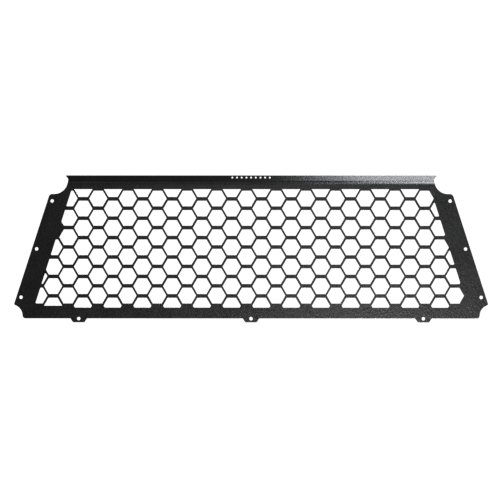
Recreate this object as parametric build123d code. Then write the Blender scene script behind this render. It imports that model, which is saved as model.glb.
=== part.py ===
from build123d import *
from math import cos, radians, sin, sqrt, tan
import os

# Headache rack panel: one sheet of steel, cut to outline with a honeycomb window and
# bolt holes, its top edge bent back into a stiffening flange.
# Millimetres. +X is to the right seen from the front, +Z up, and the front faces -Y.
# The origin is the centre of the middle tab hole, on the back face of the sheet.

# Sheet
sheet_thickness = 2.0
bolt_hole_radius = 5.15                 # clearance for an M10 or 3/8 in bolt

# Outline of the flat sheet
bottom_edge_z = 1.0
side_slope = 0.3166                     # sideways run of each side edge per unit of height
side_x_at_zero = 665.3                  # half width of the side edge's line at z = 0
ear_corner_radius = 10.0
notch_radius = 38.0                     # round notch between an ear and the flange
notch_centre_z = 381.7                  # on the flat blank
neck_half_width = 506.2                 # where the notches leave the sheet narrowest
scallop_radius = 31.0                   # scalloped lower corners
scallop_centre_x = 660.0
scallop_centre_z = 8.0
scallop_side_round = 4.0
scallop_foot_round = 8.0

# Tabs under the bottom edge
tab_pitch = 474.5
tab_foot_z = -9.8
tab_foot_half_width = 15.5
tab_root_half_width = 22.5
tab_foot_round = 5.0
tab_root_round = 3.0

# Side bolt holes, from the lower corner up
side_hole_heights = [58.8, 192.2, 324.7]
side_hole_inset = 12.8                  # sideways, from the side edge to a hole's centre

# Honeycomb
cell_across_flats = 44.0                # 1 3/4 in, less the coat on its cut edges
column_pitch = 41.0
row_pitch = 53.6
first_column_x = -12.4                  # a column that holds full cells from top to bottom
first_cell_z = 331.5
odd_column_drop = 27.7
columns_each_way = 14
window_top_z = 357.8
window_bottom_z = 30.1
window_side_slope = 0.312
window_side_x_at_zero = 607.9           # half width of the window's side line at z = 0
smallest_cell_area = 215.0              # a cell clipped below this isn't cut
cell_corner_radius = 1.3
clipped_corner_radius = 2.6
most_of_a_side = 0.45                   # a corner's round uses at most this share of each side
end_cell_column = -13                   # its bottom cell stops short of the window's edge
end_cell_bottom_z = 35.2

# Flange along the top
bend_start_z = 369.6
bend_inner_radius = 14.0
bend_angle = 50.0                       # leaned back from upright, in degrees
flange_length = 24.4                    # flat part, from the bend to its free edge
flange_corner_round = 0.6

# Row of slots through the flange
slot_count = 9
slot_pitch = 13.0
slot_width = 5.5
slot_length = 12.0
slot_to_edge = 2.5                      # from a slot's end to the flange's free edge

bend_outer_radius = bend_inner_radius + sheet_thickness
bend_end_y = bend_inner_radius * (1 - cos(radians(bend_angle)))
bend_end_z = bend_start_z + bend_inner_radius * sin(radians(bend_angle))
# The notch is one circle on the flat blank, so it runs over the bend into the flange.
bend_flat_length = radians(bend_angle) * (bend_inner_radius + sheet_thickness / 2)
blank_bend_end = bend_start_z + bend_flat_length
notch_above_bend = notch_centre_z - blank_bend_end
notch_centre_x = neck_half_width + notch_radius
ear_top_z = notch_centre_z - notch_radius


def side_edge_x(z):
    """Half width of the sheet at height z, along the straight side edge."""
    return side_x_at_zero - side_slope * z


def window_side_x(z):
    """Half width of the honeycomb window at height z."""
    return window_side_x_at_zero - window_side_slope * z


def on_circle(x, z, radius, degrees):
    """A point on a circle about (x, z)."""
    return (x + radius * cos(radians(degrees)), z + radius * sin(radians(degrees)))


def scallop_top():
    """Where a side edge runs into the scallop of its lower corner."""
    offset = side_x_at_zero - scallop_centre_x
    square = 1 + side_slope**2
    linear = offset * side_slope + scallop_centre_z
    constant = offset**2 + scallop_centre_z**2 - scallop_radius**2
    z = (linear + sqrt(linear**2 - square * constant)) / square
    return (side_edge_x(z), z)


def scallop_foot():
    """Where the bottom edge runs into the scallop."""
    drop = scallop_centre_z - bottom_edge_z
    return (scallop_centre_x - sqrt(scallop_radius**2 - drop**2), bottom_edge_z)


def notch_edge_x(z):
    """Half width between the notches at height z on the flat blank."""
    return notch_centre_x - sqrt(notch_radius**2 - (z - notch_centre_z)**2)


def tab_corners(x):
    """Corners of a tab, from its left root to its right root."""
    return [
        (x - tab_root_half_width, bottom_edge_z),
        (x - tab_foot_half_width, tab_foot_z),
        (x + tab_foot_half_width, tab_foot_z),
        (x + tab_root_half_width, bottom_edge_z),
    ]


def side_curves(side):
    """Edges up one side, from the bottom edge's end to the start of the bend."""

    def place(point):
        return (side * point[0], point[1])

    foot = scallop_foot()
    top = scallop_top()
    ear = (side_edge_x(ear_top_z), ear_top_z)
    notch_foot = (notch_centre_x, ear_top_z)
    neck = (notch_edge_x(bend_start_z), bend_start_z)
    # a point on each arc that settles which way round it goes
    up_and_inwards = 140
    down_and_inwards = 230
    scallop_middle = on_circle(scallop_centre_x, scallop_centre_z, scallop_radius, up_and_inwards)
    notch_middle = on_circle(notch_centre_x, notch_centre_z, notch_radius, down_and_inwards)
    return [
        ThreePointArc(place(foot), place(scallop_middle), place(top)),
        Line(place(top), place(ear)),
        Line(place(ear), place(notch_foot)),
        ThreePointArc(place(notch_foot), place(notch_middle), place(neck)),
    ]


def outline_sketch():
    """The flat sheet up to the bend, without its holes, drawn in the XY plane."""
    foot_x, foot_z = scallop_foot()
    tabs = []
    for number in (-1, 0, 1):
        tabs += tab_corners(number * tab_pitch)
    bottom = [(-foot_x, foot_z)] + tabs + [(foot_x, foot_z)]
    left = side_curves(-1)
    right = side_curves(1)
    sketch = make_face(left + right + [Polyline(*bottom), Line(left[-1] @ 1, right[-1] @ 1)])

    def round_corners(corners, radius):
        face = sketch
        for x, z in corners:
            corner = face.vertices().sort_by_distance((x, z, 0))[0]
            face = fillet(corner, radius)
        return face

    mirrored = (-1, 1)
    ear_x = side_edge_x(ear_top_z)
    top_x, top_z = scallop_top()
    roots = [point for point in tabs if point[1] == bottom_edge_z]
    feet = [point for point in tabs if point[1] == tab_foot_z]
    sketch = round_corners([(side * ear_x, ear_top_z) for side in mirrored], ear_corner_radius)
    sketch = round_corners([(side * top_x, top_z) for side in mirrored], scallop_side_round)
    sketch = round_corners([(side * foot_x, foot_z) for side in mirrored], scallop_foot_round)
    sketch = round_corners(feet, tab_foot_round)
    return round_corners(roots, tab_root_round)


def clip(polygon, inside):
    """The part of a convex polygon where inside(x, z) is positive; inside is linear."""
    kept = []
    for start, end in zip(polygon, polygon[1:] + polygon[:1]):
        a = inside(*start)
        b = inside(*end)
        if a > 0:
            kept.append(start)
        if a * b < 0:
            share = a / (a - b)
            x = start[0] + share * (end[0] - start[0])
            z = start[1] + share * (end[1] - start[1])
            kept.append((x, z))
    return kept


def polygon_area(polygon):
    """Area inside a closed polygon."""
    doubled = 0
    for start, end in zip(polygon, polygon[1:] + polygon[:1]):
        doubled += start[0] * end[1] - end[0] * start[1]
    return abs(doubled) / 2


def hexagon(x, z):
    """Corners of a cell with flats at its top and bottom."""
    corner = cell_across_flats / sqrt(3)
    points = []
    for number in range(6):
        angle = radians(60 * number)
        points.append((x + corner * cos(angle), z + corner * sin(angle)))
    return points


def window_cell(x, z, bottom_z):
    """The part of a cell that lies in the window."""
    cell = hexagon(x, z)
    cell = clip(cell, lambda px, pz: window_top_z - pz)
    cell = clip(cell, lambda px, pz: pz - bottom_z)
    cell = clip(cell, lambda px, pz: window_side_x(pz) - px)
    return clip(cell, lambda px, pz: window_side_x(pz) + px)


def honeycomb_cells():
    """Corner points of every cell that is cut, whole or clipped by the window."""
    cells = []
    rows = int((window_top_z - window_bottom_z) / row_pitch) + 2
    for column in range(-columns_each_way, columns_each_way + 1):
        x = first_column_x + column * column_pitch
        top_z = first_cell_z
        if column % 2:
            top_z += row_pitch - odd_column_drop
        bottom_z = window_bottom_z
        if column == end_cell_column:
            bottom_z = end_cell_bottom_z
        for row in range(rows):
            cell = window_cell(x, top_z - row * row_pitch, bottom_z)
            if len(cell) > 2 and polygon_area(cell) > smallest_cell_area:
                cells.append(cell)
    return cells


def rounded_wire(polygon, radius):
    """A closed wire along a convex polygon, each corner rounded as far as its sides allow."""
    count = len(polygon)
    points = [Vector(x, z, 0) for x, z in polygon]
    arcs = []
    for number in range(count):
        corner = points[number]
        back = points[number - 1] - corner
        ahead = points[(number + 1) % count] - corner
        half_angle = radians(back.get_angle(ahead)) / 2
        shorter_side = min(back.length, ahead.length)
        reach = min(radius / tan(half_angle), most_of_a_side * shorter_side)
        inward = (back.normalized() + ahead.normalized()).normalized()
        to_centre = reach / cos(half_angle)
        to_arc = to_centre - reach * tan(half_angle)
        start = corner + back.normalized() * reach
        end = corner + ahead.normalized() * reach
        arcs.append((start, corner + inward * to_arc, end))
    edges = []
    for number in range(count):
        start, middle, end = arcs[number]
        next_start = arcs[(number + 1) % count][0]
        edges.append(Edge.make_three_point_arc(start, middle, end))
        edges.append(Edge.make_line(end, next_start))
    return Wire(edges)


def cell_wires():
    """The cut edges of the honeycomb."""
    wires = []
    full_area = polygon_area(hexagon(0, 0))
    for cell in honeycomb_cells():
        whole = polygon_area(cell) > 0.999 * full_area
        radius = cell_corner_radius if whole else clipped_corner_radius
        wires.append(rounded_wire(cell, radius))
    return wires


def hole_wires():
    """The cut edges of the bolt holes: three in the tabs and three down each side."""
    centres = [(number * tab_pitch, 0) for number in (-1, 0, 1)]
    for z in side_hole_heights:
        x = side_edge_x(z) - side_hole_inset
        centres += [(-x, z), (x, z)]
    return [Pos(x, z) * Edge.make_circle(bolt_hole_radius) for x, z in centres]


def flat_panel():
    """The flat part of the sheet, with its back face on the plane y = 0."""
    outer = outline_sketch().faces()[0].outer_wire()
    holes = cell_wires() + [Wire([edge]) for edge in hole_wires()]
    face = Plane.XZ * Face(outer, holes)
    return Solid.extrude(face, Vector(0, -sheet_thickness, 0))


def bend_solid():
    """The rounded bend between the panel and the flange, ended by the two notches."""
    centre_y = bend_inner_radius

    def at(radius, angle):
        y = centre_y - radius * cos(radians(angle))
        return (0, y, bend_start_z + radius * sin(radians(angle)))

    half = bend_angle / 2
    inner = ThreePointArc(at(bend_inner_radius, 0), at(bend_inner_radius, half),
                          at(bend_inner_radius, bend_angle))
    outer = ThreePointArc(at(bend_outer_radius, 0), at(bend_outer_radius, half),
                          at(bend_outer_radius, bend_angle))
    section = make_face([inner, outer, Line(inner @ 0, outer @ 0), Line(inner @ 1, outer @ 1)])
    bend = extrude(section, amount=notch_centre_x, dir=(1, 0, 0), both=True)

    middle_z = bend_start_z + (bend_inner_radius + sheet_thickness / 2) * sin(radians(half))
    start = (notch_edge_x(bend_start_z), bend_start_z)
    middle = (notch_edge_x(bend_start_z + bend_flat_length / 2), middle_z)
    end = (notch_edge_x(blank_bend_end), bend_end_z)
    past_end_z = bend_end_z + bend_outer_radius
    corner_points = [end, (end[0], past_end_z), (notch_centre_x, past_end_z),
                     (notch_centre_x, bend_start_z), start]
    offcut = make_face([ThreePointArc(start, middle, end), Polyline(*corner_points)])
    cutter = extrude(Plane.XZ * offcut, amount=4 * bend_inner_radius, both=True)
    return bend - cutter - mirror(cutter, about=Plane.YZ)


def flange_solid():
    """The flat flange, drawn from the bend (y = 0) to its free edge, then leaned back."""
    blank = Pos(0, flange_length / 2) * Rectangle(2 * notch_centre_x, flange_length)
    for side in (-1, 1):
        blank -= Pos(side * notch_centre_x, notch_above_bend) * Circle(notch_radius)
    tips = blank.vertices().group_by(Axis.Y)[-1]
    blank = fillet(tips, flange_corner_round)
    slot_centre = flange_length - slot_to_edge - slot_length / 2
    for number in range(slot_count):
        x = (number - (slot_count - 1) / 2) * slot_pitch
        blank -= Pos(x, slot_centre) * SlotOverall(slot_length, slot_width, rotation=90)
    # local x stays along X, local y runs up the leaned-back flange, local z points forwards
    lean = radians(bend_angle)
    back_face = Plane(
        origin=(0, bend_end_y, bend_end_z),
        x_dir=(1, 0, 0),
        z_dir=(0, -cos(lean), sin(lean)),
    )
    return extrude(back_face * blank, amount=sheet_thickness)


def hex_panel():
    """The whole sheet as one solid."""
    return flat_panel() + bend_solid() + flange_solid()


os.makedirs("parts", exist_ok=True)
panel = hex_panel()
panel.label = "hex_panel"
export_step(panel, "parts/hex_panel.step")
print("solids", len(panel.solids()), "volume", round(panel.volume), "cells", len(honeycomb_cells()))
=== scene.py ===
from math import asin, atan2, cos, degrees, pi, radians, sin, sqrt, tan

import bpy
import numpy as np
from mathutils import Matrix, Vector
from mathutils.geometry import delaunay_2d_cdt


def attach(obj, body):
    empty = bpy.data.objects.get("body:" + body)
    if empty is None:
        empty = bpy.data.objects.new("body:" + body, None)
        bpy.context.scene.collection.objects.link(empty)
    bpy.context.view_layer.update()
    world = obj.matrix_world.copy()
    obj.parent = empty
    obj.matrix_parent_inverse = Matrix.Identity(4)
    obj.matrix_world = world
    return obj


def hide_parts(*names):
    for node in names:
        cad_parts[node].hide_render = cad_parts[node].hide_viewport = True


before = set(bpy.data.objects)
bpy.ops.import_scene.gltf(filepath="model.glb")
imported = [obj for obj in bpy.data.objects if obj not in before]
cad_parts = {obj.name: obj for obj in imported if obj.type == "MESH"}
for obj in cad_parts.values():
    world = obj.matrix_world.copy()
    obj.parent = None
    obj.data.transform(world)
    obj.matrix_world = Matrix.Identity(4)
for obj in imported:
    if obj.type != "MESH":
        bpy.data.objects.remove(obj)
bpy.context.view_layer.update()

# Headache rack panel: a laser-cut sheet with a honeycomb window, its top edge bent back.
# The sheet is drawn flat in millimetres as points (x, s), where s runs up the blank, and then
# wrapped round the bend into the frame's metres: x to the right, z up, the front facing -y.
MM = 0.001

# Sheet
SHEET_THICKNESS = 2.0
EDGE_ROUND = 0.35                       # powder-coated edges are slightly rounded
EDGE_ROUND_ANGLES = (0, 30, 60, 90)     # from the face to the cut wall, in degrees
BOLT_HOLE_RADIUS = 5.15

# Outline
BOTTOM_EDGE = 1.0
SIDE_SLOPE = 0.3166
SIDE_X_AT_ZERO = 665.3
EAR_ROUND = 10.0
NOTCH_RADIUS = 38.0
NOTCH_CENTRE_HEIGHT = 381.7             # on the flat blank
NECK_HALF_WIDTH = 506.2                 # where the notches leave the sheet narrowest
SCALLOP_RADIUS = 31.0
SCALLOP_CENTRE = (660.0, 8.0)
SCALLOP_SIDE_ROUND = 4.0
SCALLOP_FOOT_ROUND = 8.0

# Tabs
TAB_PITCH = 474.5
TAB_FOOT = -9.8
TAB_FOOT_HALF_WIDTH = 15.5
TAB_ROOT_HALF_WIDTH = 22.5
TAB_FOOT_ROUND = 5.0
TAB_ROOT_ROUND = 3.0

# Side bolt holes
SIDE_HOLE_HEIGHTS = (58.8, 192.2, 324.7)
SIDE_HOLE_INSET = 12.8                  # sideways, from the side edge to a hole's centre

# Honeycomb
CELL_ACROSS_FLATS = 44.0
CELL_CORNER = CELL_ACROSS_FLATS / sqrt(3)   # from a cell's centre to its corners
COLUMN_PITCH = 41.0
ROW_PITCH = 53.6
FIRST_COLUMN_X = -12.4
FIRST_CELL_HEIGHT = 331.5
ODD_COLUMN_DROP = 27.7
COLUMNS_EACH_WAY = 14
WINDOW_TOP = 357.8
WINDOW_BOTTOM = 30.1
WINDOW_SIDE_SLOPE = 0.312
WINDOW_SIDE_X_AT_ZERO = 607.9
SMALLEST_CELL_AREA = 215.0              # a cell clipped below this isn't cut
CELL_ROUND = 1.3
CLIPPED_CELL_ROUND = 2.6
MOST_OF_A_SIDE = 0.45                   # a corner's round uses at most this share of each side
END_CELL_COLUMN = -13                   # its bottom cell stops short of the window's edge
END_CELL_BOTTOM = 35.2

# Bend and flange
BEND_START = 369.6
BEND_INNER_RADIUS = 14.0
BEND_ANGLE = radians(50)                # leaned back from upright
BEND_STEPS = 24
BEND_POINT_SPACING = 12.0               # between points across the sheet on a line along the bend
FLANGE_LENGTH = 24.4                    # flat part, from the bend to its free edge
FLANGE_CORNER_ROUND = 0.6

# Slots in the flange
SLOT_COUNT = 9
SLOT_PITCH = 13.0
SLOT_WIDTH = 5.5
SLOT_LENGTH = 12.0
SLOT_TO_EDGE = 2.5                      # from a slot's end to the flange's free edge

NEUTRAL_RADIUS = BEND_INNER_RADIUS + SHEET_THICKNESS / 2
BEND_END = BEND_START + BEND_ANGLE * NEUTRAL_RADIUS
FREE_EDGE = BEND_END + FLANGE_LENGTH
NOTCH_CENTRE = (NECK_HALF_WIDTH + NOTCH_RADIUS, NOTCH_CENTRE_HEIGHT)
EAR_TOP = NOTCH_CENTRE_HEIGHT - NOTCH_RADIUS

SAME_POINT = 0.001                      # points nearer than this count as one
WHOLE_CELL_SHARE = 0.999                # a cell with this share of its area isn't clipped


# ---- the blank's loops, each with the metal on its left ----

def side_x(s):
    """Half width of the sheet along its straight side edge."""
    return SIDE_X_AT_ZERO - SIDE_SLOPE * s


def arc(centre, radius, start, end, steps):
    """Points on an arc between two angles in degrees, both ends included."""
    points = []
    for number in range(steps + 1):
        angle = radians(start + (end - start) * number / steps)
        points.append((centre[0] + radius * cos(angle), centre[1] + radius * sin(angle)))
    return points


def heading(start, end):
    """The direction from one point to another, in degrees."""
    return degrees(atan2(end[1] - start[1], end[0] - start[0]))


def corner_round(before, corner, after, radius, steps, most=1.0):
    """Points round a corner; the round uses at most a share of each side."""
    corner = Vector(corner)
    back = Vector(before) - corner
    ahead = Vector(after) - corner
    half_angle = back.angle(ahead) / 2
    reach = min(radius / tan(half_angle), most * back.length, most * ahead.length)
    inward = (back.normalized() + ahead.normalized()).normalized()
    centre = corner + inward * (reach / cos(half_angle))
    start = heading(centre, corner + back.normalized() * reach)
    turn = heading(centre, corner + ahead.normalized() * reach) - start
    turn = (turn + 180) % 360 - 180
    return arc(centre, reach * tan(half_angle), start, start + turn, steps)


def tab_points(x, steps=6):
    """A tab's outline from its left root to its right root."""
    along_the_edge = TAB_PITCH / 4      # room for the roots' rounds
    corners = [
        (x - TAB_ROOT_HALF_WIDTH - along_the_edge, BOTTOM_EDGE),
        (x - TAB_ROOT_HALF_WIDTH, BOTTOM_EDGE),
        (x - TAB_FOOT_HALF_WIDTH, TAB_FOOT),
        (x + TAB_FOOT_HALF_WIDTH, TAB_FOOT),
        (x + TAB_ROOT_HALF_WIDTH, BOTTOM_EDGE),
        (x + TAB_ROOT_HALF_WIDTH + along_the_edge, BOTTOM_EDGE),
    ]
    rounds = (TAB_ROOT_ROUND, TAB_FOOT_ROUND, TAB_FOOT_ROUND, TAB_ROOT_ROUND)
    points = []
    for number, radius in enumerate(rounds, start=1):
        points += corner_round(*corners[number - 1:number + 2], radius, steps)
    return points


def scallop_points():
    """The scalloped lower right corner, from the bottom edge to the side edge."""
    foot_reach = SCALLOP_RADIUS + SCALLOP_FOOT_ROUND
    foot_height = BOTTOM_EDGE + SCALLOP_FOOT_ROUND
    foot_run = sqrt(foot_reach**2 - (foot_height - SCALLOP_CENTRE[1])**2)
    foot = (SCALLOP_CENTRE[0] - foot_run, foot_height)

    # the side round's centre lies on the side edge's parallel and clear of the scallop
    side_reach = SCALLOP_RADIUS + SCALLOP_SIDE_ROUND
    square = 1 + SIDE_SLOPE**2
    offset = SIDE_X_AT_ZERO - SCALLOP_SIDE_ROUND * sqrt(square) - SCALLOP_CENTRE[0]
    linear = offset * SIDE_SLOPE + SCALLOP_CENTRE[1]
    constant = offset**2 + SCALLOP_CENTRE[1]**2 - side_reach**2
    height = (linear + sqrt(linear**2 - square * constant)) / square
    side = (offset + SCALLOP_CENTRE[0] - SIDE_SLOPE * height, height)

    points = arc(foot, SCALLOP_FOOT_ROUND, -90, heading(foot, SCALLOP_CENTRE), 8)
    points += arc(SCALLOP_CENTRE, SCALLOP_RADIUS,
                  heading(foot, SCALLOP_CENTRE) + 180, heading(SCALLOP_CENTRE, side), 24)
    side_normal = degrees(atan2(SIDE_SLOPE, 1))
    points += arc(side, SCALLOP_SIDE_ROUND, heading(side, SCALLOP_CENTRE), side_normal, 8)
    return points


def notch_points():
    """The ear's corner, the notch and the flange's tip, up to the free edge."""
    ear = (side_x(EAR_TOP), EAR_TOP)
    points = corner_round((side_x(0), 0), ear, (NOTCH_CENTRE[0], EAR_TOP), EAR_ROUND, 12)
    bend_start = 180 + degrees(asin((NOTCH_CENTRE[1] - BEND_START) / NOTCH_RADIUS))
    bend_end = 180 + degrees(asin((NOTCH_CENTRE[1] - BEND_END) / NOTCH_RADIUS))
    points += arc(NOTCH_CENTRE, NOTCH_RADIUS, 270, bend_start, 32)
    for level in bend_levels()[1:-1]:
        run = sqrt(NOTCH_RADIUS**2 - (NOTCH_CENTRE[1] - level)**2)
        points.append((NOTCH_CENTRE[0] - run, level))
    tip_reach = NOTCH_RADIUS + FLANGE_CORNER_ROUND
    tip_height = FREE_EDGE - FLANGE_CORNER_ROUND
    tip_run = sqrt(tip_reach**2 - (tip_height - NOTCH_CENTRE[1])**2)
    tip = (NOTCH_CENTRE[0] - tip_run, tip_height)
    points += arc(NOTCH_CENTRE, NOTCH_RADIUS, bend_end, heading(NOTCH_CENTRE, tip), 20)
    points += arc(tip, FLANGE_CORNER_ROUND, heading(tip, NOTCH_CENTRE), 90, 6)
    return points


def bend_levels():
    """Heights on the blank of the lines along the bend."""
    return [BEND_START + (BEND_END - BEND_START) * number / BEND_STEPS
            for number in range(BEND_STEPS + 1)]


def without_repeats(points):
    """The closed loop without points that fall on the one before."""
    kept = []
    for number, point in enumerate(points):
        before = points[number - 1]
        if (Vector(point) - Vector(before)).length > SAME_POINT:
            kept.append(point)
    return kept


def outline_loop():
    """The blank's outer edge, anticlockwise from the front."""
    right = [p for p in tab_points(0) if p[0] > 0]
    right += tab_points(TAB_PITCH) + scallop_points() + notch_points()
    left = [(-x, s) for x, s in reversed(right)]
    return without_repeats(right + left)


def clip(polygon, inside):
    """The part of a convex polygon where inside(x, s) is positive; inside is linear."""
    kept = []
    for start, end in zip(polygon, polygon[1:] + polygon[:1]):
        a = inside(*start)
        b = inside(*end)
        if a > 0:
            kept.append(start)
        if a * b < 0:
            share = a / (a - b)
            kept.append((start[0] + share * (end[0] - start[0]),
                         start[1] + share * (end[1] - start[1])))
    return kept


def polygon_area(polygon):
    """Area inside a closed polygon, positive when it runs anticlockwise."""
    doubled = 0
    for start, end in zip(polygon, polygon[1:] + polygon[:1]):
        doubled += start[0] * end[1] - end[0] * start[1]
    return doubled / 2


def window_side(s):
    """Half width of the honeycomb window."""
    return WINDOW_SIDE_X_AT_ZERO - WINDOW_SIDE_SLOPE * s


def hexagon(x, s):
    """Corners of a whole cell, with flats at its top and bottom."""
    return arc((x, s), CELL_CORNER, 0, 300, 5)


def window_cell(x, s, bottom):
    """The part of a cell that lies in the window."""
    cell = clip(hexagon(x, s), lambda px, ps: WINDOW_TOP - ps)
    cell = clip(cell, lambda px, ps: ps - bottom)
    cell = clip(cell, lambda px, ps: window_side(ps) - px)
    return clip(cell, lambda px, ps: window_side(ps) + px)


def rounded_hole(polygon, radius, steps=4):
    """A hole's loop, clockwise so that the metal is on its left, with rounded corners."""
    points = []
    for number, corner in enumerate(polygon):
        after = polygon[(number + 1) % len(polygon)]
        points += corner_round(polygon[number - 1], corner, after, radius, steps, MOST_OF_A_SIDE)
    return points[::-1]


def cell_loops():
    """Every cell of the honeycomb, whole or clipped."""
    loops = []
    whole_area = polygon_area(hexagon(0, 0))
    rows = int((WINDOW_TOP - WINDOW_BOTTOM) / ROW_PITCH) + 2
    for column in range(-COLUMNS_EACH_WAY, COLUMNS_EACH_WAY + 1):
        x = FIRST_COLUMN_X + column * COLUMN_PITCH
        top = FIRST_CELL_HEIGHT
        if column % 2:
            top += ROW_PITCH - ODD_COLUMN_DROP
        bottom = END_CELL_BOTTOM if column == END_CELL_COLUMN else WINDOW_BOTTOM
        for row in range(rows):
            cell = window_cell(x, top - row * ROW_PITCH, bottom)
            if len(cell) > 2 and polygon_area(cell) > SMALLEST_CELL_AREA:
                whole = polygon_area(cell) > WHOLE_CELL_SHARE * whole_area
                loops.append(rounded_hole(cell, CELL_ROUND if whole else CLIPPED_CELL_ROUND))
    return loops


def bolt_hole_loops(steps=48):
    """Three bolt holes in the tabs and three down each side."""
    centres = [(number * TAB_PITCH, 0) for number in (-1, 0, 1)]
    for s in SIDE_HOLE_HEIGHTS:
        x = side_x(s) - SIDE_HOLE_INSET
        centres += [(-x, s), (x, s)]
    return [arc(centre, BOLT_HOLE_RADIUS, 360, 0, steps)[1:] for centre in centres]


def slot_loops(steps=14):
    """The row of slots through the flange."""
    middle = FREE_EDGE - SLOT_TO_EDGE - SLOT_LENGTH / 2
    half_run = (SLOT_LENGTH - SLOT_WIDTH) / 2
    loops = []
    for number in range(SLOT_COUNT):
        x = (number - (SLOT_COUNT - 1) / 2) * SLOT_PITCH
        top = arc((x, middle + half_run), SLOT_WIDTH / 2, 180, 0, steps)
        bottom = arc((x, middle - half_run), SLOT_WIDTH / 2, 0, -180, steps)
        loops.append(top + bottom)
    return loops


# ---- from the blank to the bent sheet ----

def bend_angle_at(s):
    """How far the sheet has turned at each height on the blank."""
    return np.clip((s - BEND_START) / NEUTRAL_RADIUS, 0, BEND_ANGLE)


def wrap(points, depth):
    """Places flat points, at a depth below the front face, on the bent sheet."""
    x, s = points.T
    angle = bend_angle_at(s)
    radius = BEND_INNER_RADIUS + SHEET_THICKNESS - depth
    below = np.minimum(s, BEND_START)
    beyond = np.maximum(s - BEND_END, 0)
    y = BEND_INNER_RADIUS - radius * np.cos(angle) + beyond * np.sin(angle)
    z = below + radius * np.sin(angle) + beyond * np.cos(angle)
    return np.column_stack([x, y, z])


def wrap_directions(points, flat_directions):
    """Turns directions (across, up the blank, out of the front) with the bend."""
    angle = bend_angle_at(points[:, 1])
    across, up, out = flat_directions.T
    y = up * np.sin(angle) - out * np.cos(angle)
    z = up * np.cos(angle) + out * np.sin(angle)
    return np.column_stack([across, y, z])


def into_metal(loop):
    """For each point of a loop, the way into the metal and the mitre that keeps an even inset."""
    points = np.array(loop)
    along = np.roll(points, -1, axis=0) - points
    along /= np.linalg.norm(along, axis=1)[:, None]
    left = np.column_stack([-along[:, 1], along[:, 0]])
    before = np.roll(left, 1, axis=0)
    mean = left + before
    mitre = mean / (1 + (left * before).sum(axis=1))[:, None]
    return mean / np.linalg.norm(mean, axis=1)[:, None], mitre


def outside_outline(point, outline):
    """True where a point is outside the outer loop."""
    x, s = point
    start, end = outline, np.roll(outline, -1, axis=0)
    crosses = (start[:, 1] > s) != (end[:, 1] > s)
    start, end = start[crosses], end[crosses]
    at_x = start[:, 0] + (s - start[:, 1]) / (end[:, 1] - start[:, 1]) * (end[:, 0] - start[:, 0])
    return (at_x > x).sum() % 2 == 0


def face_mesh(loops):
    """Triangles that fill the inset loops, with lines of points along the bend.

    Returns the flat points, loops first, and the triangles as index triples."""
    points = [tuple(p) for loop in loops for p in loop]
    # the number of each point's loop, and -1 for the points between loops
    owner = [number for number, loop in enumerate(loops) for p in loop]
    edges = []
    first = 0
    for loop in loops:
        count = len(loop)
        edges += [(first + n, first + (n + 1) % count) for n in range(count)]
        first += count

    outline = loops[0]
    for level in bend_levels():
        off_level = np.abs(outline[:, 1] - level)
        right = int(np.argmin(np.where(outline[:, 0] < 0, np.inf, off_level)))
        left = int(np.argmin(np.where(outline[:, 0] > 0, np.inf, off_level)))
        width = outline[right, 0] - outline[left, 0]
        inner = int(width / BEND_POINT_SPACING)
        chain = [left]
        for number in range(1, inner):
            share = number / inner
            chain.append(len(points))
            points.append((outline[left, 0] + share * width, level))
            owner.append(-1)
        chain.append(right)
        edges += list(zip(chain, chain[1:]))

    closeness = 1e-5
    result = delaunay_2d_cdt([Vector(p) for p in points], edges, [], 0, closeness, True)
    faces, origins = result[2:4]
    triangles = []
    for face in faces:
        corners = [origins[n][0] for n in face]
        owners = {owner[n] for n in corners}
        if owners == {0}:
            middle = np.mean([points[n] for n in corners], axis=0)
            in_metal = not outside_outline(middle, outline)
        else:
            # a triangle between the points of one hole fills that hole
            in_metal = len(owners) > 1 or max(owners) < 0
        if in_metal:
            triangles.append(corners)
    return np.array(points), triangles


def edge_rings(loop_points, inward, mitre):
    """Vertices and normals of the rings over the rounded edges, the front's first.

    Each edge's rings run from its face to the cut wall."""
    vertices = []
    normals = []
    for side in (1, -1):
        for angle in EDGE_ROUND_ANGLES:
            turn = radians(angle)
            depth = EDGE_ROUND * (1 - cos(turn))
            if side < 0:
                depth = SHEET_THICKNESS - depth
            ring = loop_points + EDGE_ROUND * (1 - sin(turn)) * mitre
            out = np.full(len(ring), side * cos(turn))
            vertices.append(wrap(ring, depth))
            normals.append(wrap_directions(ring, np.column_stack([-inward * sin(turn), out])))
    return vertices, normals


def edge_faces(loops, rim):
    """Strips from the front face's rim, over both rounded edges, to the back face's rim."""
    rings = len(EDGE_ROUND_ANGLES)
    order = list(range(rings)) + list(range(2 * rings - 1, rings - 1, -1))
    faces = []
    start = 0
    for loop in loops:
        count = len(loop)
        for upper, lower in zip(order, order[1:]):
            for n in range(count):
                here = start + n
                there = start + (n + 1) % count
                faces.append((upper * rim + here, lower * rim + here,
                              lower * rim + there, upper * rim + there))
        start += count
    return faces


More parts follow.
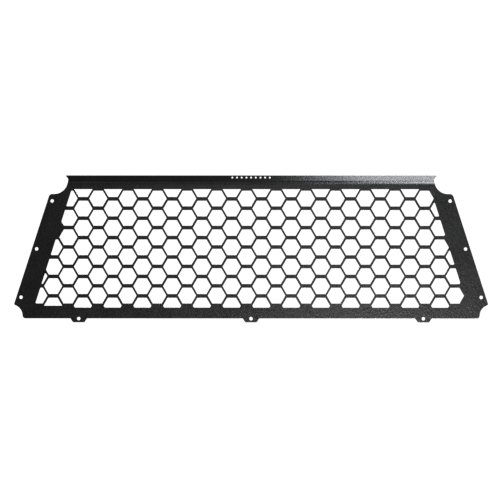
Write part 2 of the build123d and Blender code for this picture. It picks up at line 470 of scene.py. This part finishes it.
def sheet_mesh(name):
    """The whole bent sheet as one closed mesh with softly rounded edges."""
    loops = [outline_loop()] + cell_loops() + bolt_hole_loops() + slot_loops()
    edges = [into_metal(loop) for loop in loops]
    loop_points = np.concatenate([np.array(loop) for loop in loops])
    inward = np.concatenate([edge[0] for edge in edges])
    mitre = np.concatenate([edge[1] for edge in edges])
    inset = loop_points + EDGE_ROUND * mitre
    split = np.cumsum([len(loop) for loop in loops])[:-1]
    face_points, triangles = face_mesh(np.split(inset, split))

    rim = len(loop_points)
    inner_points = face_points[rim:]
    vertices, normals = edge_rings(loop_points, inward, mitre)
    for side, depth in ((1, 0.0), (-1, SHEET_THICKNESS)):
        facing = np.tile([0.0, 0.0, side], (len(inner_points), 1))
        vertices.append(wrap(inner_points, depth))
        normals.append(wrap_directions(inner_points, facing))

    back_rim = len(EDGE_ROUND_ANGLES) * rim
    first_inner = 2 * back_rim

    def front(number):
        """The vertex on the front face for a point of the face mesh."""
        if number < rim:
            return number
        return first_inner + number - rim

    def back(number):
        """The vertex on the back face for a point of the face mesh."""
        if number < rim:
            return back_rim + number
        return first_inner + len(inner_points) + number - rim

    faces = [tuple(front(n) for n in corners) for corners in triangles]
    faces += [tuple(back(n) for n in reversed(corners)) for corners in triangles]
    faces += edge_faces(loops, rim)

    mesh = bpy.data.meshes.new(name)
    mesh.from_pydata((np.concatenate(vertices) * MM).tolist(), [], faces)
    mesh.update()
    mesh.shade_smooth()
    mesh.normals_split_custom_set_from_vertices(np.concatenate(normals).tolist())
    return mesh


# ---- materials ----

# noise scales, in waves per metre
FINE_GRAIN = 1100
SPARKLE = 300
ORANGE_PEEL = 170
CLOUDS = 14

DARKEST_COAT = 0.012                    # base colour, a neutral grey
PALEST_COAT = 0.016
CLOUD_ROUGHNESS = (0.28, 0.30)
SPARKLE_ROUGHNESS = 0.05                # either way
FINE_BUMP = 0.0001                      # heights of the bumps, in metres
PEEL_BUMP = 0.00036
FINE_STRENGTH = 0.35
PEEL_STRENGTH = 1.0
NOISE_LOW = 0.3                         # a noise's values lie mostly between these
NOISE_HIGH = 0.7


def new_material(name):
    """A new node material; returns it with its nodes, its links and its shader."""
    material = bpy.data.materials.new(name)
    material.use_nodes = True
    nodes = material.node_tree.nodes
    return material, nodes, material.node_tree.links, nodes["Principled BSDF"]


def powder_coat():
    """Black powder coat with a fine, slightly uneven grain."""
    material, nodes, links, shader = new_material("black_powder_coat")
    place = nodes.new("ShaderNodeTexCoord").outputs["Object"]

    def noise(scale, detail):
        node = nodes.new("ShaderNodeTexNoise")
        node.inputs["Scale"].default_value = scale
        node.inputs["Detail"].default_value = detail
        links.new(place, node.inputs["Vector"])
        return node.outputs["Fac"]

    def remap(value, low, high):
        node = nodes.new("ShaderNodeMapRange")
        node.inputs["From Min"].default_value = NOISE_LOW
        node.inputs["From Max"].default_value = NOISE_HIGH
        node.inputs["To Min"].default_value = low
        node.inputs["To Max"].default_value = high
        links.new(value, node.inputs["Value"])
        return node.outputs["Result"]

    def bump(height, strength, distance):
        node = nodes.new("ShaderNodeBump")
        node.inputs["Strength"].default_value = strength
        node.inputs["Distance"].default_value = distance
        links.new(height, node.inputs["Height"])
        return node

    grain = noise(FINE_GRAIN, 2)
    peel = noise(ORANGE_PEEL, 1)
    sparkle = noise(SPARKLE, 1)
    cloud = noise(CLOUDS, 3)

    tint = nodes.new("ShaderNodeMix")
    tint.data_type = "RGBA"
    tint.inputs["A"].default_value = (DARKEST_COAT, DARKEST_COAT, DARKEST_COAT, 1)
    tint.inputs["B"].default_value = (PALEST_COAT, PALEST_COAT, PALEST_COAT, 1)
    links.new(remap(cloud, 0.0, 1.0), tint.inputs["Factor"])
    links.new(tint.outputs["Result"], shader.inputs["Base Color"])

    rough = nodes.new("ShaderNodeMath")
    rough.operation = "ADD"
    links.new(remap(cloud, *CLOUD_ROUGHNESS), rough.inputs[0])
    links.new(remap(sparkle, -SPARKLE_ROUGHNESS, SPARKLE_ROUGHNESS), rough.inputs[1])
    links.new(rough.outputs["Value"], shader.inputs["Roughness"])

    fine = bump(grain, FINE_STRENGTH, FINE_BUMP)
    broad = bump(peel, PEEL_STRENGTH, PEEL_BUMP)
    links.new(fine.outputs["Normal"], broad.inputs["Normal"])
    links.new(broad.outputs["Normal"], shader.inputs["Normal"])
    return material


coat = powder_coat()
panel = bpy.data.objects.new("hex_panel_coated", sheet_mesh("hex_panel_coated"))
bpy.context.scene.collection.objects.link(panel)
panel.data.materials.append(coat)
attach(panel, "root")
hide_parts("hex_panel")
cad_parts["hex_panel"].data.materials.clear()
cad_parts["hex_panel"].data.materials.append(coat)


# ---- stage, light and camera ----

PRINT_GAMMA = 0.6                       # a contrasty catalogue print
FLOOR_HEIGHT = -1.2
FLOOR_SIZE = 40.0
AMBIENT = 0.35                          # the surroundings' light on the object
BACKDROP = 1.02                         # the surroundings as the camera sees them: pure white
COOL = (0.955, 0.98, 1.0)               # a light that is slightly blue
NEUTRAL = (1, 1, 1)

CAMERA_TARGET = (-0.0029, 0, 0.1893)
CAMERA_DISTANCE = 3.45
CAMERA_AZIMUTH = radians(0.14)          # 0 is straight in front of the panel
CAMERA_ELEVATION = radians(-2.02)
CAMERA_ROLL = radians(0.03)
CAMERA_LENS = 90.0


def pale_floor():
    """A plain white floor, far enough below to take no shadow."""
    mesh = bpy.data.meshes.new("floor")
    half = FLOOR_SIZE / 2
    corners = [(-half, -half), (half, -half), (half, half), (-half, half)]
    mesh.from_pydata([(x, y, FLOOR_HEIGHT) for x, y in corners], [], [(0, 1, 2, 3)])
    floor = bpy.data.objects.new("floor", mesh)
    bpy.context.scene.collection.objects.link(floor)
    material, _, _, shader = new_material("pale_floor")
    shader.inputs["Base Color"].default_value = (0.9, 0.9, 0.9, 1)
    shader.inputs["Roughness"].default_value = 0.9
    shader.inputs["Emission Color"].default_value = (1, 1, 1, 1)
    shader.inputs["Emission Strength"].default_value = 1.0
    mesh.materials.append(material)
    floor.visible_diffuse = False
    floor.visible_glossy = False
    floor.visible_shadow = False


def white_surroundings():
    """White behind the object, with dim surroundings for the light that falls on it."""
    world = bpy.data.worlds.new("studio")
    bpy.context.scene.world = world
    world.use_nodes = True
    nodes = world.node_tree.nodes
    links = world.node_tree.links
    background = nodes["Background"]
    background.inputs["Color"].default_value = (1, 1, 1, 1)
    path = nodes.new("ShaderNodeLightPath")
    strength = nodes.new("ShaderNodeMapRange")
    strength.inputs["To Min"].default_value = AMBIENT
    strength.inputs["To Max"].default_value = BACKDROP
    links.new(path.outputs["Is Camera Ray"], strength.inputs["Value"])
    links.new(strength.outputs["Result"], background.inputs["Strength"])


def softbox(name, place, aim, width, height, brightness, colour=NEUTRAL):
    """A rectangular soft light, in metres, with its brightness as radiance over its face."""
    light = bpy.data.lights.new(name, "AREA")
    light.shape = "RECTANGLE"
    light.size = width
    light.size_y = height
    light.energy = brightness * pi * width * height
    light.color = colour
    lamp = bpy.data.objects.new(name, light)
    bpy.context.scene.collection.objects.link(lamp)
    lamp.location = place
    lamp.rotation_euler = (Vector(aim) - Vector(place)).to_track_quat("-Z", "Y").to_euler()
    lamp.visible_camera = False


def add_camera():
    """The camera, aimed at its target from its azimuth and elevation."""
    camera = bpy.data.objects.new("camera", bpy.data.cameras.new("camera"))
    bpy.context.scene.collection.objects.link(camera)
    camera.data.lens = CAMERA_LENS
    camera.data.sensor_width = 36.0
    away = Vector((
        sin(CAMERA_AZIMUTH) * cos(CAMERA_ELEVATION),
        -cos(CAMERA_AZIMUTH) * cos(CAMERA_ELEVATION),
        sin(CAMERA_ELEVATION),
    ))
    look = (-away).to_track_quat("-Z", "Y").to_matrix() @ Matrix.Rotation(CAMERA_ROLL, 3, "Z")
    place = Vector(CAMERA_TARGET) + CAMERA_DISTANCE * away
    camera.matrix_world = Matrix.Translation(place) @ look.to_4x4()
    bpy.context.scene.camera = camera


bpy.context.scene.view_settings.view_transform = "Standard"
bpy.context.scene.view_settings.gamma = PRINT_GAMMA
pale_floor()
white_surroundings()

# overhead boxes, which the flange and the top of the bend mirror
softbox("overhead", (0.95, 0.29, 1.40), (0.9, 0, 0.39), 1.5, 0.36, 7.0, COOL)
softbox("overhead_near", (0.80, 0.10, 0.80), (0.8, 0, 0.39), 1.0, 0.10, 3.8, COOL)
softbox("overhead_front", (1.05, -0.22, 1.45), (0.9, 0, 0.39), 1.0, 0.20, 9.2, COOL)
softbox("front_near", (0.85, -0.13, 0.95), (0.85, 0, 0.39), 1.0, 0.10, 19.9, COOL)

# high boxes in front, for the rest of the bend
softbox("high_right", (1.15, -0.74, 1.33), (0.9, 0, 0.39), 1.4, 0.73, 18.2, COOL)
softbox("high_left", (-0.7, -0.70, 1.25), (-0.5, 0, 0.39), 1.6, 0.6, 1.1)
softbox("middle_right", (0.70, -0.60, 0.66), (0.7, 0, 0.39), 1.0, 0.10, 11.0, COOL)

# boxes low down and level with the panel, for the flat sheet
softbox("low_centre", (0, -1.55, -0.95), (0, 0, 0.1), 1.6, 0.9, 11.6)
softbox("low_near", (0.35, -0.70, -0.52), (0.35, 0, 0), 1.0, 0.6, 4.8)
softbox("low_near_right", (0.50, -0.80, -0.50), (0.5, 0, 0), 1.0, 0.5, 4.9)
softbox("low_right", (0.55, -2.6, -0.45), (0.35, 0, 0.1), 0.6, 0.5, 6.1)
softbox("low_far_right", (0.9, -3.2, -0.5), (0.5, 0, 0.1), 0.8, 0.6, 7.9)
softbox("front", (0, -3.4, 0.6), (0, 0, 0.2), 1.6, 0.6, 2.6)

# boxes behind, for the back
softbox("back_high", (-0.9, 2.4, 1.1), (0, 0, 0.2), 1.6, 0.8, 14.0)
softbox("back_low", (0.8, 1.8, -0.8), (0, 0, 0.2), 1.4, 0.5, 16.0)

add_camera()
